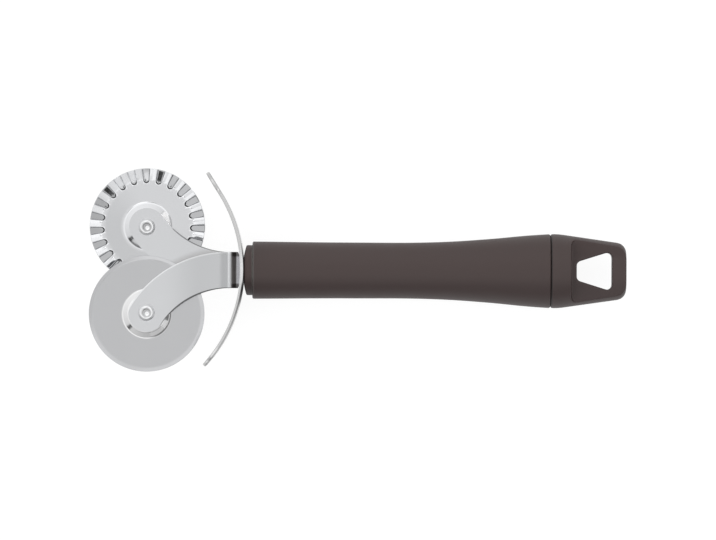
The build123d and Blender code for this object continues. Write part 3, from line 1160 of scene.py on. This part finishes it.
def front_arm_reach(tree):
    """Socket for a point's distance from the centre of the front arm's curve."""
    return distances(tree, (joggle_start, -arm_arc_radius, 0))[1]


front_steel = arm_finish(
    "plain",
    side=-1,
    painted_shade_to_neck=0.86,
    line_start=2.5 * mm,
    line_full=7 * mm,
    line_width=0.35 * mm,
    rim_painted_shade=0.2,
)
front_tree = front_steel.node_tree
front_reach = front_arm_reach(front_tree)
painted_highlight_edge = step(front_tree, front_reach, outer_arc - 0.6 * mm, outer_arc - 0.3 * mm)
stain_or_paint_light(front_steel, painted_highlight_edge, edge_painted_highlight)
join_tool(front_arm, "tool", "plain_arm", front_steel)

rear_steel = arm_finish(
    "fluted",
    side=1,
    painted_shade_to_neck=0.98,
    line_start=8.2 * mm,
    line_full=9.4 * mm,
    line_width=0.2 * mm,
    rim_painted_shade=0.35,
)
rear_tree = rear_steel.node_tree
rear_reach = front_arm_reach(rear_tree)
beside_front_arm = step(rear_tree, rear_reach, outer_arc + 2.6 * mm, outer_arc)
stain_or_paint_light(rear_steel, beside_front_arm, beside_arm_painted_shade)
join_tool(rear_arm, "tool", "fluted_arm", rear_steel)

# %% [markdown]
# ## Plain wheel
#
# A disc of sheet steel with a raised boss pressed in, and an edge ground thin from both faces.
# Its section is drawn from the bore out along the front and back along the rear, then spun.

# %% Turn the plain wheel
wheel_radius = 20 * mm
wheel_sheet = 1.0 * mm
wheel_bore = 3.05 * mm
boss_height = 2.0 * mm
boss_top_radius = 6.2 * mm
boss_base_radius = 8.3 * mm
boss_shift = 0.38 * mm
ground_width = 1.2 * mm
cutting_edge = 0.35 * mm
wheel_steps = 192


def plain_wheel_piece():
    ground_start = wheel_radius - ground_width
    ground_drop = (wheel_sheet - cutting_edge) / 2
    outline = [
        (wheel_bore, 0),
        (boss_top_radius, 0),
        (boss_base_radius, -boss_height),
        (ground_start, -boss_height),
        (wheel_radius, -boss_height - ground_drop),
        (wheel_radius, -boss_height - wheel_sheet + ground_drop),
        (ground_start, -boss_height - wheel_sheet),
        (boss_base_radius - boss_shift, -boss_height - wheel_sheet),
        (boss_top_radius - boss_shift, -wheel_sheet),
        (wheel_bore, -wheel_sheet),
        (wheel_bore, 0),
    ]
    fine, bend, wide_bend = 0.08 * mm, 0.3 * mm, 0.65 * mm
    rounds = {1: wide_bend, 2: bend, 3: fine, 4: fine, 5: fine, 6: fine, 7: wide_bend, 8: bend}
    piece = turned_about_hub("cutting_wheel", hubs["plain_wheel"], outline, rounds, wheel_steps)
    shade(piece)
    return piece


# %% [markdown]
# The face is duller than the boss, and the ground edge duller still. Beside the arm, the boss has
# painted shade at its foot, a painted shadow of the arm on its flank, a painted highlight below them,
# and a line of painted shade under the arm's round end. They stand for the arm and the light that the
# boss mirrors at rest.
# Each mark is a piece of a ring: inner and outer radius, width of the soft edge, then the middle
# azimuth, the angles from it where the mark is still full and where it ends, and the tone.

# %% Finish the plain wheel
plain_wheel_colour = (0.72, 0.72, 0.725)
wheel_roughness = 0.13
face_tone = (0.765, 0.77, 0.78)
ground_tone = 0.86
# Each row paints shade, a shadow or a highlight on the boss.
boss_painted_light = [
    (8.05 * mm, 8.55 * mm, 0.1 * mm, 333, 28, 62, 0.25),
    (6.75 * mm, 7.8 * mm, 0.15 * mm, 350, 5, 10, 0.3),
    (6.5 * mm, 7.9 * mm, 0.15 * mm, 300, 14, 24, 1.22),
    (6.0 * mm, 6.4 * mm, 0.1 * mm, 308, 30, 45, 0.7),
]


def plain_wheel_finish():
    """Steel turned about the hub, with painted light and shade between two radii on one side of the
    boss.
    """
    hub = hubs["plain_wheel"]
    finish = brushed_steel("cutting_wheel_steel", hub, plain_wheel_colour, wheel_roughness)
    tree = finish.node_tree
    heading, radius = distances(tree, hub)[:2]
    face = step(tree, radius, boss_base_radius + 0.1 * mm, boss_base_radius + 0.6 * mm)
    stain_or_paint_light(finish, face, face_tone)
    ground_start = wheel_radius - ground_width
    ground_edge = step(tree, radius, ground_start - 0.1 * mm, ground_start + 0.1 * mm)
    stain_or_paint_light(finish, ground_edge, ground_tone)
    for low, high, edge, azimuth, inner, outer, tone in boss_painted_light:
        ring = between(tree, radius, low - edge, low + edge, high - edge, high + edge)
        side = towards(tree, heading, heading_at(azimuth), inner, outer)
        stain_or_paint_light(finish, both(tree, ring, side), tone)
    return finish


join_tool(
    plain_wheel_piece(), "plain_wheel", "plain_wheel", plain_wheel_finish()
)

# %% [markdown]
# ## Fluted wheel
#
# The same disc, with 23 troughs pressed into its rim. A press tool repeats one flute, so one
# flute is modelled and copied. A row of points across it starts at the bore and is extruded ring
# by ring out to the rim, flat first. The press then moves each point: in the trough back to its
# sloping floor, with a round inner end, and between the troughs up into a rounded land.
# Angles in this step are degrees from the middle of the trough, and radii are millimetres. The
# rings at the trough's inner end become arcs there, each with its end, centre and half width.

# %% Lay out one flute as a flat sector
flute_count = 23
flute_pitch = math.tau / flute_count
flute_turn = math.radians(-2.5)
half_pitch = 180 / flute_count
flute_angles = [0, 1, 2, 2.8, 3.3, 3.7, 4.6, 5.8, 7.2, half_pitch]
face_height = -boss_height / mm
boss_rings = [(3.3, 0), (5.7, 0), (5.95, -0.03), (6.2, -0.22), (7.8, -1.76), (8.05, -1.97)]
face_rings = [8.3, 10, 13, 14.1]
end_rings = {
    15.0: (14.6, 15.7, 1.06),
    15.3: (14.75, 15.85, 1.06),
    15.7: (15.3, 16.2, 0.93),
    16.2: (15.55, 16.45, 0.93),
}
rim_rings = [17.2, 18.2, 19.2, 19.8, 20]


def flat_sector():
    """One flute's share of the disc, drawn at the bore and extruded outwards ring by ring."""
    hub = hubs["fluted_wheel"]
    turns = [-angle for angle in flute_angles[:0:-1]] + flute_angles
    row = []
    for turn in turns:
        angle = math.radians(turn)
        row.append(hub + wheel_bore * Vector((math.cos(angle), math.sin(angle), 0)))
    piece = begin_point("fluted_wheel_sheet", row[0])
    draw_line(row)
    bpy.ops.mesh.select_all(action="SELECT")
    here = (wheel_bore / mm, 0)
    flat_rings = [(radius, face_height) for radius in [*face_rings, *end_rings, *rim_rings]]
    for radius, height in boss_rings + flat_rings:
        drop = (0, 0, (height - here[1]) * mm)
        bpy.ops.mesh.extrude_region_move(TRANSFORM_OT_translate={"value": drop})
        scale = radius / here[0]
        bpy.ops.transform.resize(value=(scale, scale, 1), center_override=hub)
        here = (radius, height)
    print("sector of", len(turns), "points across")
    return piece


fluted_sheet = flat_sector()

# %% [markdown]
# The press tool's shape is a rule that gives every point its new radius and height. Lands are
# roof-shaped with a rounded ridge and flare towards the rim, so that they catch light from the
# side. Trough floors fall in a slight curve.

# %% Press the flute
flute_floor = 3.3
land_drop = {3.7: 0.5, 4.6: 0.37, 5.8: 0.21, 7.2: 0.05, half_pitch: 0}
flare_start = 15.2
flare_length = 4.8
flare_height = 0.6
land_start = 15.7
land_growth = 1.8
floor_start = 14.9
floor_depth = 0.45
floor_slope = 0.0928
floor_curve = 0.00696
trough_end = 15.6
wall_ring = 15.5
angle_slack = 0.01


def land_height(radius, angle):
    flare = max(0, radius - flare_start) / flare_length * flare_height
    grown = min(1, max(0, (radius - land_start) / land_growth))
    return flare - grown * land_drop[angle]


def floor_height(radius):
    along = radius - floor_start
    return -floor_depth - floor_slope * along - floor_curve * along**2


def pressed(ring, angle):
    """New radius and height in mm, from the flat disc, of a point at a ring and an angle."""
    radius = ring
    if ring in end_rings:
        end, centre, half = end_rings[ring]
        aside = min(1, trough_end * math.sin(math.radians(angle)) / half)
        radius = centre - (centre - end) * math.sqrt(1 - aside**2)
    if angle > flute_floor:
        return radius, land_height(radius, angle)
    if ring < wall_ring:
        return radius, 0
    return radius, floor_height(radius)


def press_point(ring, angle, hub):
    """Move the two mirrored points of the sector that lie at a ring and an angle."""

    def here(place):
        away = place - hub
        turn = abs(math.degrees(math.atan2(away.y, away.x)))
        return abs(away.xy.length - ring * mm) < weld and abs(turn - angle) < angle_slack

    radius, height = pressed(ring, angle)
    found = pick("VERT", here)
    scale = radius / ring
    bpy.ops.transform.resize(value=(scale, scale, 1), center_override=hub)
    bpy.ops.transform.translate(value=(0, 0, height * mm))
    return found


def press_flute(piece):
    open_to_edit(piece)
    hub = hubs["fluted_wheel"]
    moved = 0
    for ring in [*rim_rings[::-1], *list(end_rings)[::-1]]:
        for angle in flute_angles:
            moved += press_point(ring, angle, hub)
    print("pressed", moved, "points")


press_flute(fluted_sheet)

# %% [markdown]
# A copy of the sector, set back by the sheet's thickness, makes the rear. Both are joined at bore
# and rim, the whole flute is copied round the hub, and subdivision softens the pressed edges.

# %% Give the sheet its rear and copy the flute round
def copy_flute_round(piece):
    hub = hubs["fluted_wheel"]
    bpy.ops.mesh.select_all(action="SELECT")
    bpy.ops.mesh.normals_make_consistent(inside=False)
    back = (0, 0, -wheel_sheet)
    bpy.ops.mesh.duplicate_move(TRANSFORM_OT_translate={"value": back})
    bpy.ops.mesh.flip_normals()
    for radius in (wheel_bore, wheel_radius):
        pick("EDGE", lambda place: abs((place - hub).xy.length - radius) < weld)
        bpy.ops.mesh.bridge_edge_loops()
    bpy.ops.mesh.select_all(action="SELECT")
    turn = math.tau - flute_pitch
    bpy.ops.mesh.spin(steps=flute_count - 1, dupli=True, angle=turn, center=hub, axis=(0, 0, 1))
    bpy.ops.mesh.select_all(action="SELECT")
    bpy.ops.mesh.remove_doubles(threshold=weld)
    bpy.ops.mesh.normals_make_consistent(inside=False)
    bpy.ops.transform.rotate(value=-flute_turn, orient_axis="Z", center_override=hub)
    clear_selection()
    apply_modifier(piece, "SUBSURF", levels=1, render_levels=1)
    shade(piece, sharpest=60)


copy_flute_round(fluted_sheet)

# %% [markdown]
# Trough floors are glossy from the press and darker than the face, and their inner walls have painted
# shade, nearly black. On one side a few troughs are matt and have painted light, and the lands there
# have painted shade. Beside its arm, the boss has a painted highlight on its flank over painted shade
# at its foot, and more painted shade at the foot on the far side, and the face has painted shade on
# one side. These painted marks stand for what the wheel mirrors at rest.

# %% Finish the fluted wheel
fluted_wheel_colour = (0.7, 0.707, 0.722)
floor_tone = 0.56
floor_roughness = 0.07
# The tones from here on are painted light and shade.
wall_painted_shade = 0.06
matt_trough_painted_light = 1.6
matt_trough_roughness = 0.5
land_painted_shade = 0.8
face_side_painted_shade = 0.87
flank_painted_highlight = (1.38, 1.365, 1.34)
flank_roughness = 0.95
near_foot_painted_shade = 0.5
far_foot_painted_shade = 0.35


def mark_flutes(finish, heading, radius, height):
    """Darker floors, painted shade on the walls, and on one side matt troughs with painted light and
    lands with painted shade.
    """
    tree = finish.node_tree
    trough = step(tree, height, -2.3 * mm, -2.5 * mm)
    trough_floor = both(tree, trough, step(tree, radius, 14.5 * mm, 15 * mm))
    stain_or_paint_light(finish, trough_floor, floor_tone)
    polish(finish, trough, floor_roughness)
    below_face = step(tree, height, -2.03 * mm, -2.1 * mm)
    above_floor = step(tree, height, -2.5 * mm, -2.42 * mm)
    inner_end = step(tree, radius, 16.5 * mm, 15.7 * mm)
    inner_wall = both(tree, inner_end, both(tree, below_face, above_floor))
    stain_or_paint_light(finish, inner_wall, wall_painted_shade)
    matt_painted_light_side = towards(tree, heading, heading_at(112), 14, 20)
    outer_trough = both(tree, step(tree, radius, 16 * mm, 16.6 * mm), below_face)
    matt_painted_light_troughs = both(tree, outer_trough, matt_painted_light_side)
    polish(finish, matt_painted_light_troughs, matt_trough_roughness)
    stain_or_paint_light(finish, both(tree, matt_painted_light_troughs, trough), matt_trough_painted_light)
    on_land = step(tree, height, -2.1 * mm, -2.03 * mm)
    lands = both(tree, step(tree, radius, 15.8 * mm, 16.6 * mm), on_land)
    painted_shade_side = towards(tree, heading, heading_at(128), 30, 42)
    stain_or_paint_light(finish, both(tree, lands, painted_shade_side), land_painted_shade)


def mark_fluted_boss(finish, heading, radius):
    """Painted shade on the face on one side, and a painted highlight and painted shade on the boss
    beside the arm.
    """
    tree = finish.node_tree
    face = between(tree, radius, 8.6 * mm, 9.5 * mm, 14 * mm, 15.5 * mm)
    painted_shade_side = towards(tree, heading, heading_at(205), 25, 105)
    stain_or_paint_light(finish, both(tree, face, painted_shade_side), face_side_painted_shade)
    flank = between(tree, radius, 5.75 * mm, 6.05 * mm, 7.85 * mm, 8.15 * mm)
    flank_by_arm = both(tree, flank, towards(tree, heading, heading_at(20), 16, 24))
    stain_or_paint_light(finish, flank_by_arm, flank_painted_highlight)
    polish(finish, flank_by_arm, flank_roughness)
    near_foot = between(tree, radius, 7.95 * mm, 8.15 * mm, 8.45 * mm, 8.65 * mm)
    near_side = towards(tree, heading, heading_at(10), 10, 20)
    stain_or_paint_light(finish, both(tree, near_foot, near_side), near_foot_painted_shade)
    far_foot = band(tree, radius, 7.75 * mm, 0.75 * mm)
    far_side = towards(tree, heading, heading_at(234), 12, 27)
    stain_or_paint_light(finish, both(tree, far_foot, far_side), far_foot_painted_shade)


def fluted_wheel_finish():
    hub = hubs["fluted_wheel"]
    finish = brushed_steel("fluted_wheel_steel", hub, fluted_wheel_colour, wheel_roughness)
    heading, radius, height = distances(finish.node_tree, hub)
    mark_flutes(finish, heading, radius, height)
    mark_fluted_boss(finish, heading, radius)
    return finish


join_tool(fluted_sheet, "fluted_wheel", "fluted_wheel", fluted_wheel_finish())

# %% [markdown]
# ## Axle rivets
#
# Each wheel turns on a semi-tubular rivet. Its open end is clinched over the arm, which leaves a
# bright ring with a dimple, and its flat head sits behind the wheel. The clinch is never quite
# central, so the ring is then moved a little towards the tool's middle.

# %% Turn one rivet and copy it
rivet_steps = 64
shank_radius = 1.98
rivet_outline = [
    (0, 0.5),
    (0.7, 0.38),
    (0.95, 0.4),
    (1.4, 0.84),
    (1.8, 0.95),
    (2.15, 0.85),
    (2.6, 0.42),
    (2.9, 0),
    (shank_radius, 0),
    (shank_radius, -3.3),
    (3.6, -3.3),
    (3.6, -4.25),
    (0, -4.25),
]
rivet_rounds = {3: 0.12, 4: 0.15, 5: 0.15, 6: 0.15, 11: 0.4}


def rivet_piece(name, place):
    outline = [(radius * mm, height * mm) for radius, height in rivet_outline]
    rounds = {number: width * mm for number, width in rivet_rounds.items()}
    piece = turned_about_hub(name, place, outline, rounds, rivet_steps)
    shade(piece, sharpest=60)
    return piece


def set_off_centre(piece, foot, shift):
    """Move the clinched ring and its dimple sideways on the arm, off the shank's centre."""
    open_to_edit(piece)

    def on_arm(place):
        away = place - foot
        off_shank = away.xy.length > shank_radius * mm + weld
        return away.z > weld or (away.z > -weld and off_shank)

    pick("VERT", on_arm)
    bpy.ops.transform.translate(value=shift)
    clear_selection()


front_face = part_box("plain_arm")[1].z
rivet_place = Vector((hubs["plain_wheel"].x, hubs["plain_wheel"].y, front_face))
plain_rivet = rivet_piece("cutting_wheel_rivet", rivet_place)
rivet_shift = hubs["fluted_wheel"] - hubs["plain_wheel"]
fluted_rivet = copied(plain_rivet, "fluted_wheel_rivet", rivet_shift)
plain_off = Vector((0, 0.4 * mm, 0))
fluted_off = Vector((-0.08 * mm, -0.35 * mm, 0))
set_off_centre(plain_rivet, rivet_place, plain_off)
set_off_centre(fluted_rivet, rivet_place + rivet_shift, fluted_off)

# %% [markdown]
# The rivets are the brightest steel on the tool. The dimple has painted shade with one painted glint,
# and the ring's foot has painted shade too. The bushes and washers behind them hardly show, so they
# keep their CAD shape and take the same steel.

# %% Finish the rivets and the rings behind them
rivet_colour = (0.74, 0.745, 0.755)
rivet_roughness = 0.1
# A painted glint and painted shade on the rivets.
spot_shift = Vector((0.2 * mm, -0.3 * mm, 0))
glint_painted_highlight = 1.3
ring_foot_painted_shade = 0.82
ring_foot_roughness = 0.45


def rivet_finish(wheel, off_centre, dimple_painted_shade):
    """Bright steel with painted shade in the dimple, a painted glint in it and painted shade round
    the ring's foot.
    """
    centre = hubs[wheel] + off_centre
    name = wheel.replace("wheel", "rivet_steel")
    finish = brushed_steel(name, centre, rivet_colour, rivet_roughness)
    tree = finish.node_tree
    radius = distances(tree, centre)[1]
    from_spot = distances(tree, centre + spot_shift)[1]
    in_ring = step(tree, radius, 1.85 * mm, 1.5 * mm)
    round_spot = step(tree, from_spot, 0.6 * mm, 0.9 * mm)
    stain_or_paint_light(finish, both(tree, round_spot, in_ring), dimple_painted_shade)
    stain_or_paint_light(finish, step(tree, from_spot, 0.8 * mm, 0.5 * mm), glint_painted_highlight)
    stain_or_paint_light(finish, step(tree, radius, 2.05 * mm, 2.3 * mm), ring_foot_painted_shade)
    polish(finish, step(tree, radius, 2.2 * mm, 2.4 * mm), ring_foot_roughness)
    return finish


def finish_hidden(node, finish):
    """Give a hidden CAD piece a finish, and leave its shape as it is."""
    node.data.materials.clear()
    node.data.materials.append(finish)


plain_rivet_steel = rivet_finish("plain_wheel", plain_off, dimple_painted_shade=0.62)
fluted_rivet_steel = rivet_finish("fluted_wheel", fluted_off, dimple_painted_shade=0.52)
join_tool(plain_rivet, "tool", "plain_axle_rivet", plain_rivet_steel)
join_tool(fluted_rivet, "tool", "fluted_axle_rivet", fluted_rivet_steel)
for hidden in ("spacer_bush", "back_washer"):
    finish_hidden(frame["nodes"]["plain_" + hidden], plain_rivet_steel)
    finish_hidden(frame["nodes"]["fluted_" + hidden], fluted_rivet_steel)

# %% [markdown]
# ## Floor, light and camera
#
# The tool lies on a white table. The floor is plain white to the camera and to reflections, with
# a faint shadow left in it.

# %% White floor
paper_white = (0.8, 0.8, 0.8, 1)
shadow_paper = (0.16, 0.16, 0.16, 1)
paper_glow = 0.9
floor_size = 8
floor_gap = 0.05 * mm


def white_floor():
    clear_selection()
    bpy.ops.mesh.primitive_plane_add(size=floor_size, location=(0, 0, cad_low.z - floor_gap))
    floor = bpy.context.object
    floor.name = "floor"
    paper = bpy.data.materials.new("white_paper")
    paper.use_nodes = True
    tree = paper.node_tree
    tree.nodes.clear()
    path = add(tree, "ShaderNodeLightPath")
    seen = add(
        tree,
        "ShaderNodeMath",
        {0: path.outputs["Is Camera Ray"], 1: path.outputs["Is Glossy Ray"]},
        operation="MAXIMUM",
    )
    matt = add(tree, "ShaderNodeBsdfDiffuse", {"Color": paper_white})
    faint = add(tree, "ShaderNodeBsdfDiffuse", {"Color": shadow_paper})
    glow = add(tree, "ShaderNodeEmission", {"Color": (1, 1, 1, 1), "Strength": paper_glow})
    shown = add(tree, "ShaderNodeAddShader", {0: faint.outputs[0], 1: glow.outputs[0]})
    mixed = add(
        tree,
        "ShaderNodeMixShader",
        {"Fac": seen.outputs[0], 1: matt.outputs[0], 2: shown.outputs[0]},
    )
    add(tree, "ShaderNodeOutputMaterial", {"Surface": mixed.outputs[0]})
    floor.data.materials.append(paper)


white_floor()

# %% [markdown]
# A light tent stands over the table: soft light from all round, a grey cap straight above where
# the camera looks in, bright shoulders, and one side brighter than the other. Steel mirrors what
# stands round it, so the tent also has a dark stand near the table, dark camera arms overhead
# with a bright gap between them, and a dim and a light patch on its roof. Each of these is a spot
# at an azimuth and an angle from straight up, with its share of the light there. Their places are
# guessed from the reflections on the steel in the photograph.

# %% Light tent
tent_peak = 1.6
tent_heights = (0, 0.1, 0.2, 0.4, 0.5, 0.985, 0.993, 1)
tent_mean = (0.85, 0.85, 0.8, 0.85, 1.2, 1.25, 0.88, 0.88)
tent_swing = (0.27, 0.27, 0.6, 0.6, 0.15, 0.1, 0, 0)
bright_side = heading_at(120)
stand_side = heading_at(217)
stand_angles = (2, 7)
stand_top = (0.3, 0.15)
stand_level = 0.1
overhead_angles = (1.2, 3.5)
overhead_arms = [
    (83.5, 12, 0.1),
    (83.5, 15.5, 0.1),
    (83.5, 19, 0.1),
    (140.5, 16.5, 0.1),
    (140.5, 20, 0.1),
    (126.5, 20, 0.45),
    (98, 20, 0.6),
]
roof_patches = [
    (112.5, 16, 5, 8, 1.6),
    (150, 31, 14, 30, 0.76),
    (305, 31, 14, 30, 1.1),
]


def height_ramp(tree, height, levels):
    """A light level for every height above the horizon, as a share of the tent's peak."""
    ramp = add(tree, "ShaderNodeValToRGB", {"Fac": height})
    stops = ramp.color_ramp.elements
    while len(stops) < len(levels):
        stops.new(0.5)
    for stop, place, level in zip(stops, tent_heights, levels):
        stop.position = place
        stop.color = (*[level / tent_peak] * 3, 1)
    return ramp.outputs["Color"]


def tent_level(tree, way):
    """Light level in every direction: by height and side first, then the things in the tent."""
    height = add(tree, "ShaderNodeSeparateXYZ", {"Vector": way}).outputs["Z"]
    level_way = add(tree, "ShaderNodeVectorMath", {0: way, 1: (1, 1, 0)}, operation="MULTIPLY")
    heading = add(tree, "ShaderNodeVectorMath", {0: level_way.outputs[0]}, operation="NORMALIZE")
    side = add(
        tree, "ShaderNodeVectorMath", {0: heading.outputs[0], 1: bright_side}, operation="DOT_PRODUCT"
    )
    mean = height_ramp(tree, height, tent_mean)
    swing = height_ramp(tree, height, tent_swing)
    plain = add(
        tree,
        "ShaderNodeMath",
        {0: swing, 1: side.outputs["Value"], 2: mean},
        operation="MULTIPLY_ADD",
    )
    stand = towards(tree, heading.outputs[0], stand_side, *stand_angles)
    low_stand = both(tree, stand, step(tree, height, *stand_top))
    level = both(tree, plain.outputs[0], vary(tree, low_stand, 1, stand_level))
    for azimuth, off_zenith, share in overhead_arms:
        arm = towards(tree, way, heading_at(azimuth, off_zenith), *overhead_angles)
        level = both(tree, level, vary(tree, arm, 1, share))
    for azimuth, off_zenith, inner, outer, share in roof_patches:
        patch = towards(tree, way, heading_at(azimuth, off_zenith), inner, outer)
        level = both(tree, level, vary(tree, patch, 1, share))
    return level


def light_tent():
    """World light from the tent, with plain white for the camera."""
    world = bpy.data.worlds.new("light_tent")
    bpy.context.scene.world = world
    world.use_nodes = True
    tree = world.node_tree
    tree.nodes.clear()
    way = add(tree, "ShaderNodeTexCoord").outputs["Generated"]
    level = tent_level(tree, way)
    strength = add(tree, "ShaderNodeMath", {0: level, 1: tent_peak}, operation="MULTIPLY")
    tent = add(
        tree, "ShaderNodeBackground", {"Color": (1, 1, 1, 1), "Strength": strength.outputs[0]}
    )
    backdrop = add(tree, "ShaderNodeBackground", {"Color": (1, 1, 1, 1), "Strength": 1})
    path = add(tree, "ShaderNodeLightPath")
    mixed = add(
        tree,
        "ShaderNodeMixShader",
        {"Fac": path.outputs["Is Camera Ray"], 1: tent.outputs[0], 2: backdrop.outputs[0]},
    )
    add(tree, "ShaderNodeOutputWorld", {"Surface": mixed.outputs[0]})
    print("tent with", len(overhead_arms), "places on its dark arms")


light_tent()

# %% [markdown]
# The camera looks almost straight down from 2.7 metres, through a long lens, so the tool is drawn
# nearly without perspective.

# %% Camera at the photograph's place
image_width = 716
pixel = 0.3455 * mm
camera_distance = 2.7
camera_lean = 15 * mm
camera_roll = math.radians(0.2)
sensor_width = 36
aim_point = Vector((0.24 * mm, 0.17 * mm, axis_height))
camera_place = aim_point + Vector((0, -camera_lean, camera_distance))
clear_selection()
bpy.ops.object.camera_add(
    location=camera_place, rotation=(math.atan2(camera_lean, camera_distance), 0, camera_roll)
)
camera = bpy.context.object
camera.data.sensor_width = sensor_width
camera.data.lens = sensor_width * camera_distance / (image_width * pixel)
camera.data.clip_start = 0.05
camera.data.clip_end = 50
bpy.context.scene.camera = camera
bpy.context.scene.view_settings.view_transform = "Standard"
print("lens", round(camera.data.lens, 1), "mm")
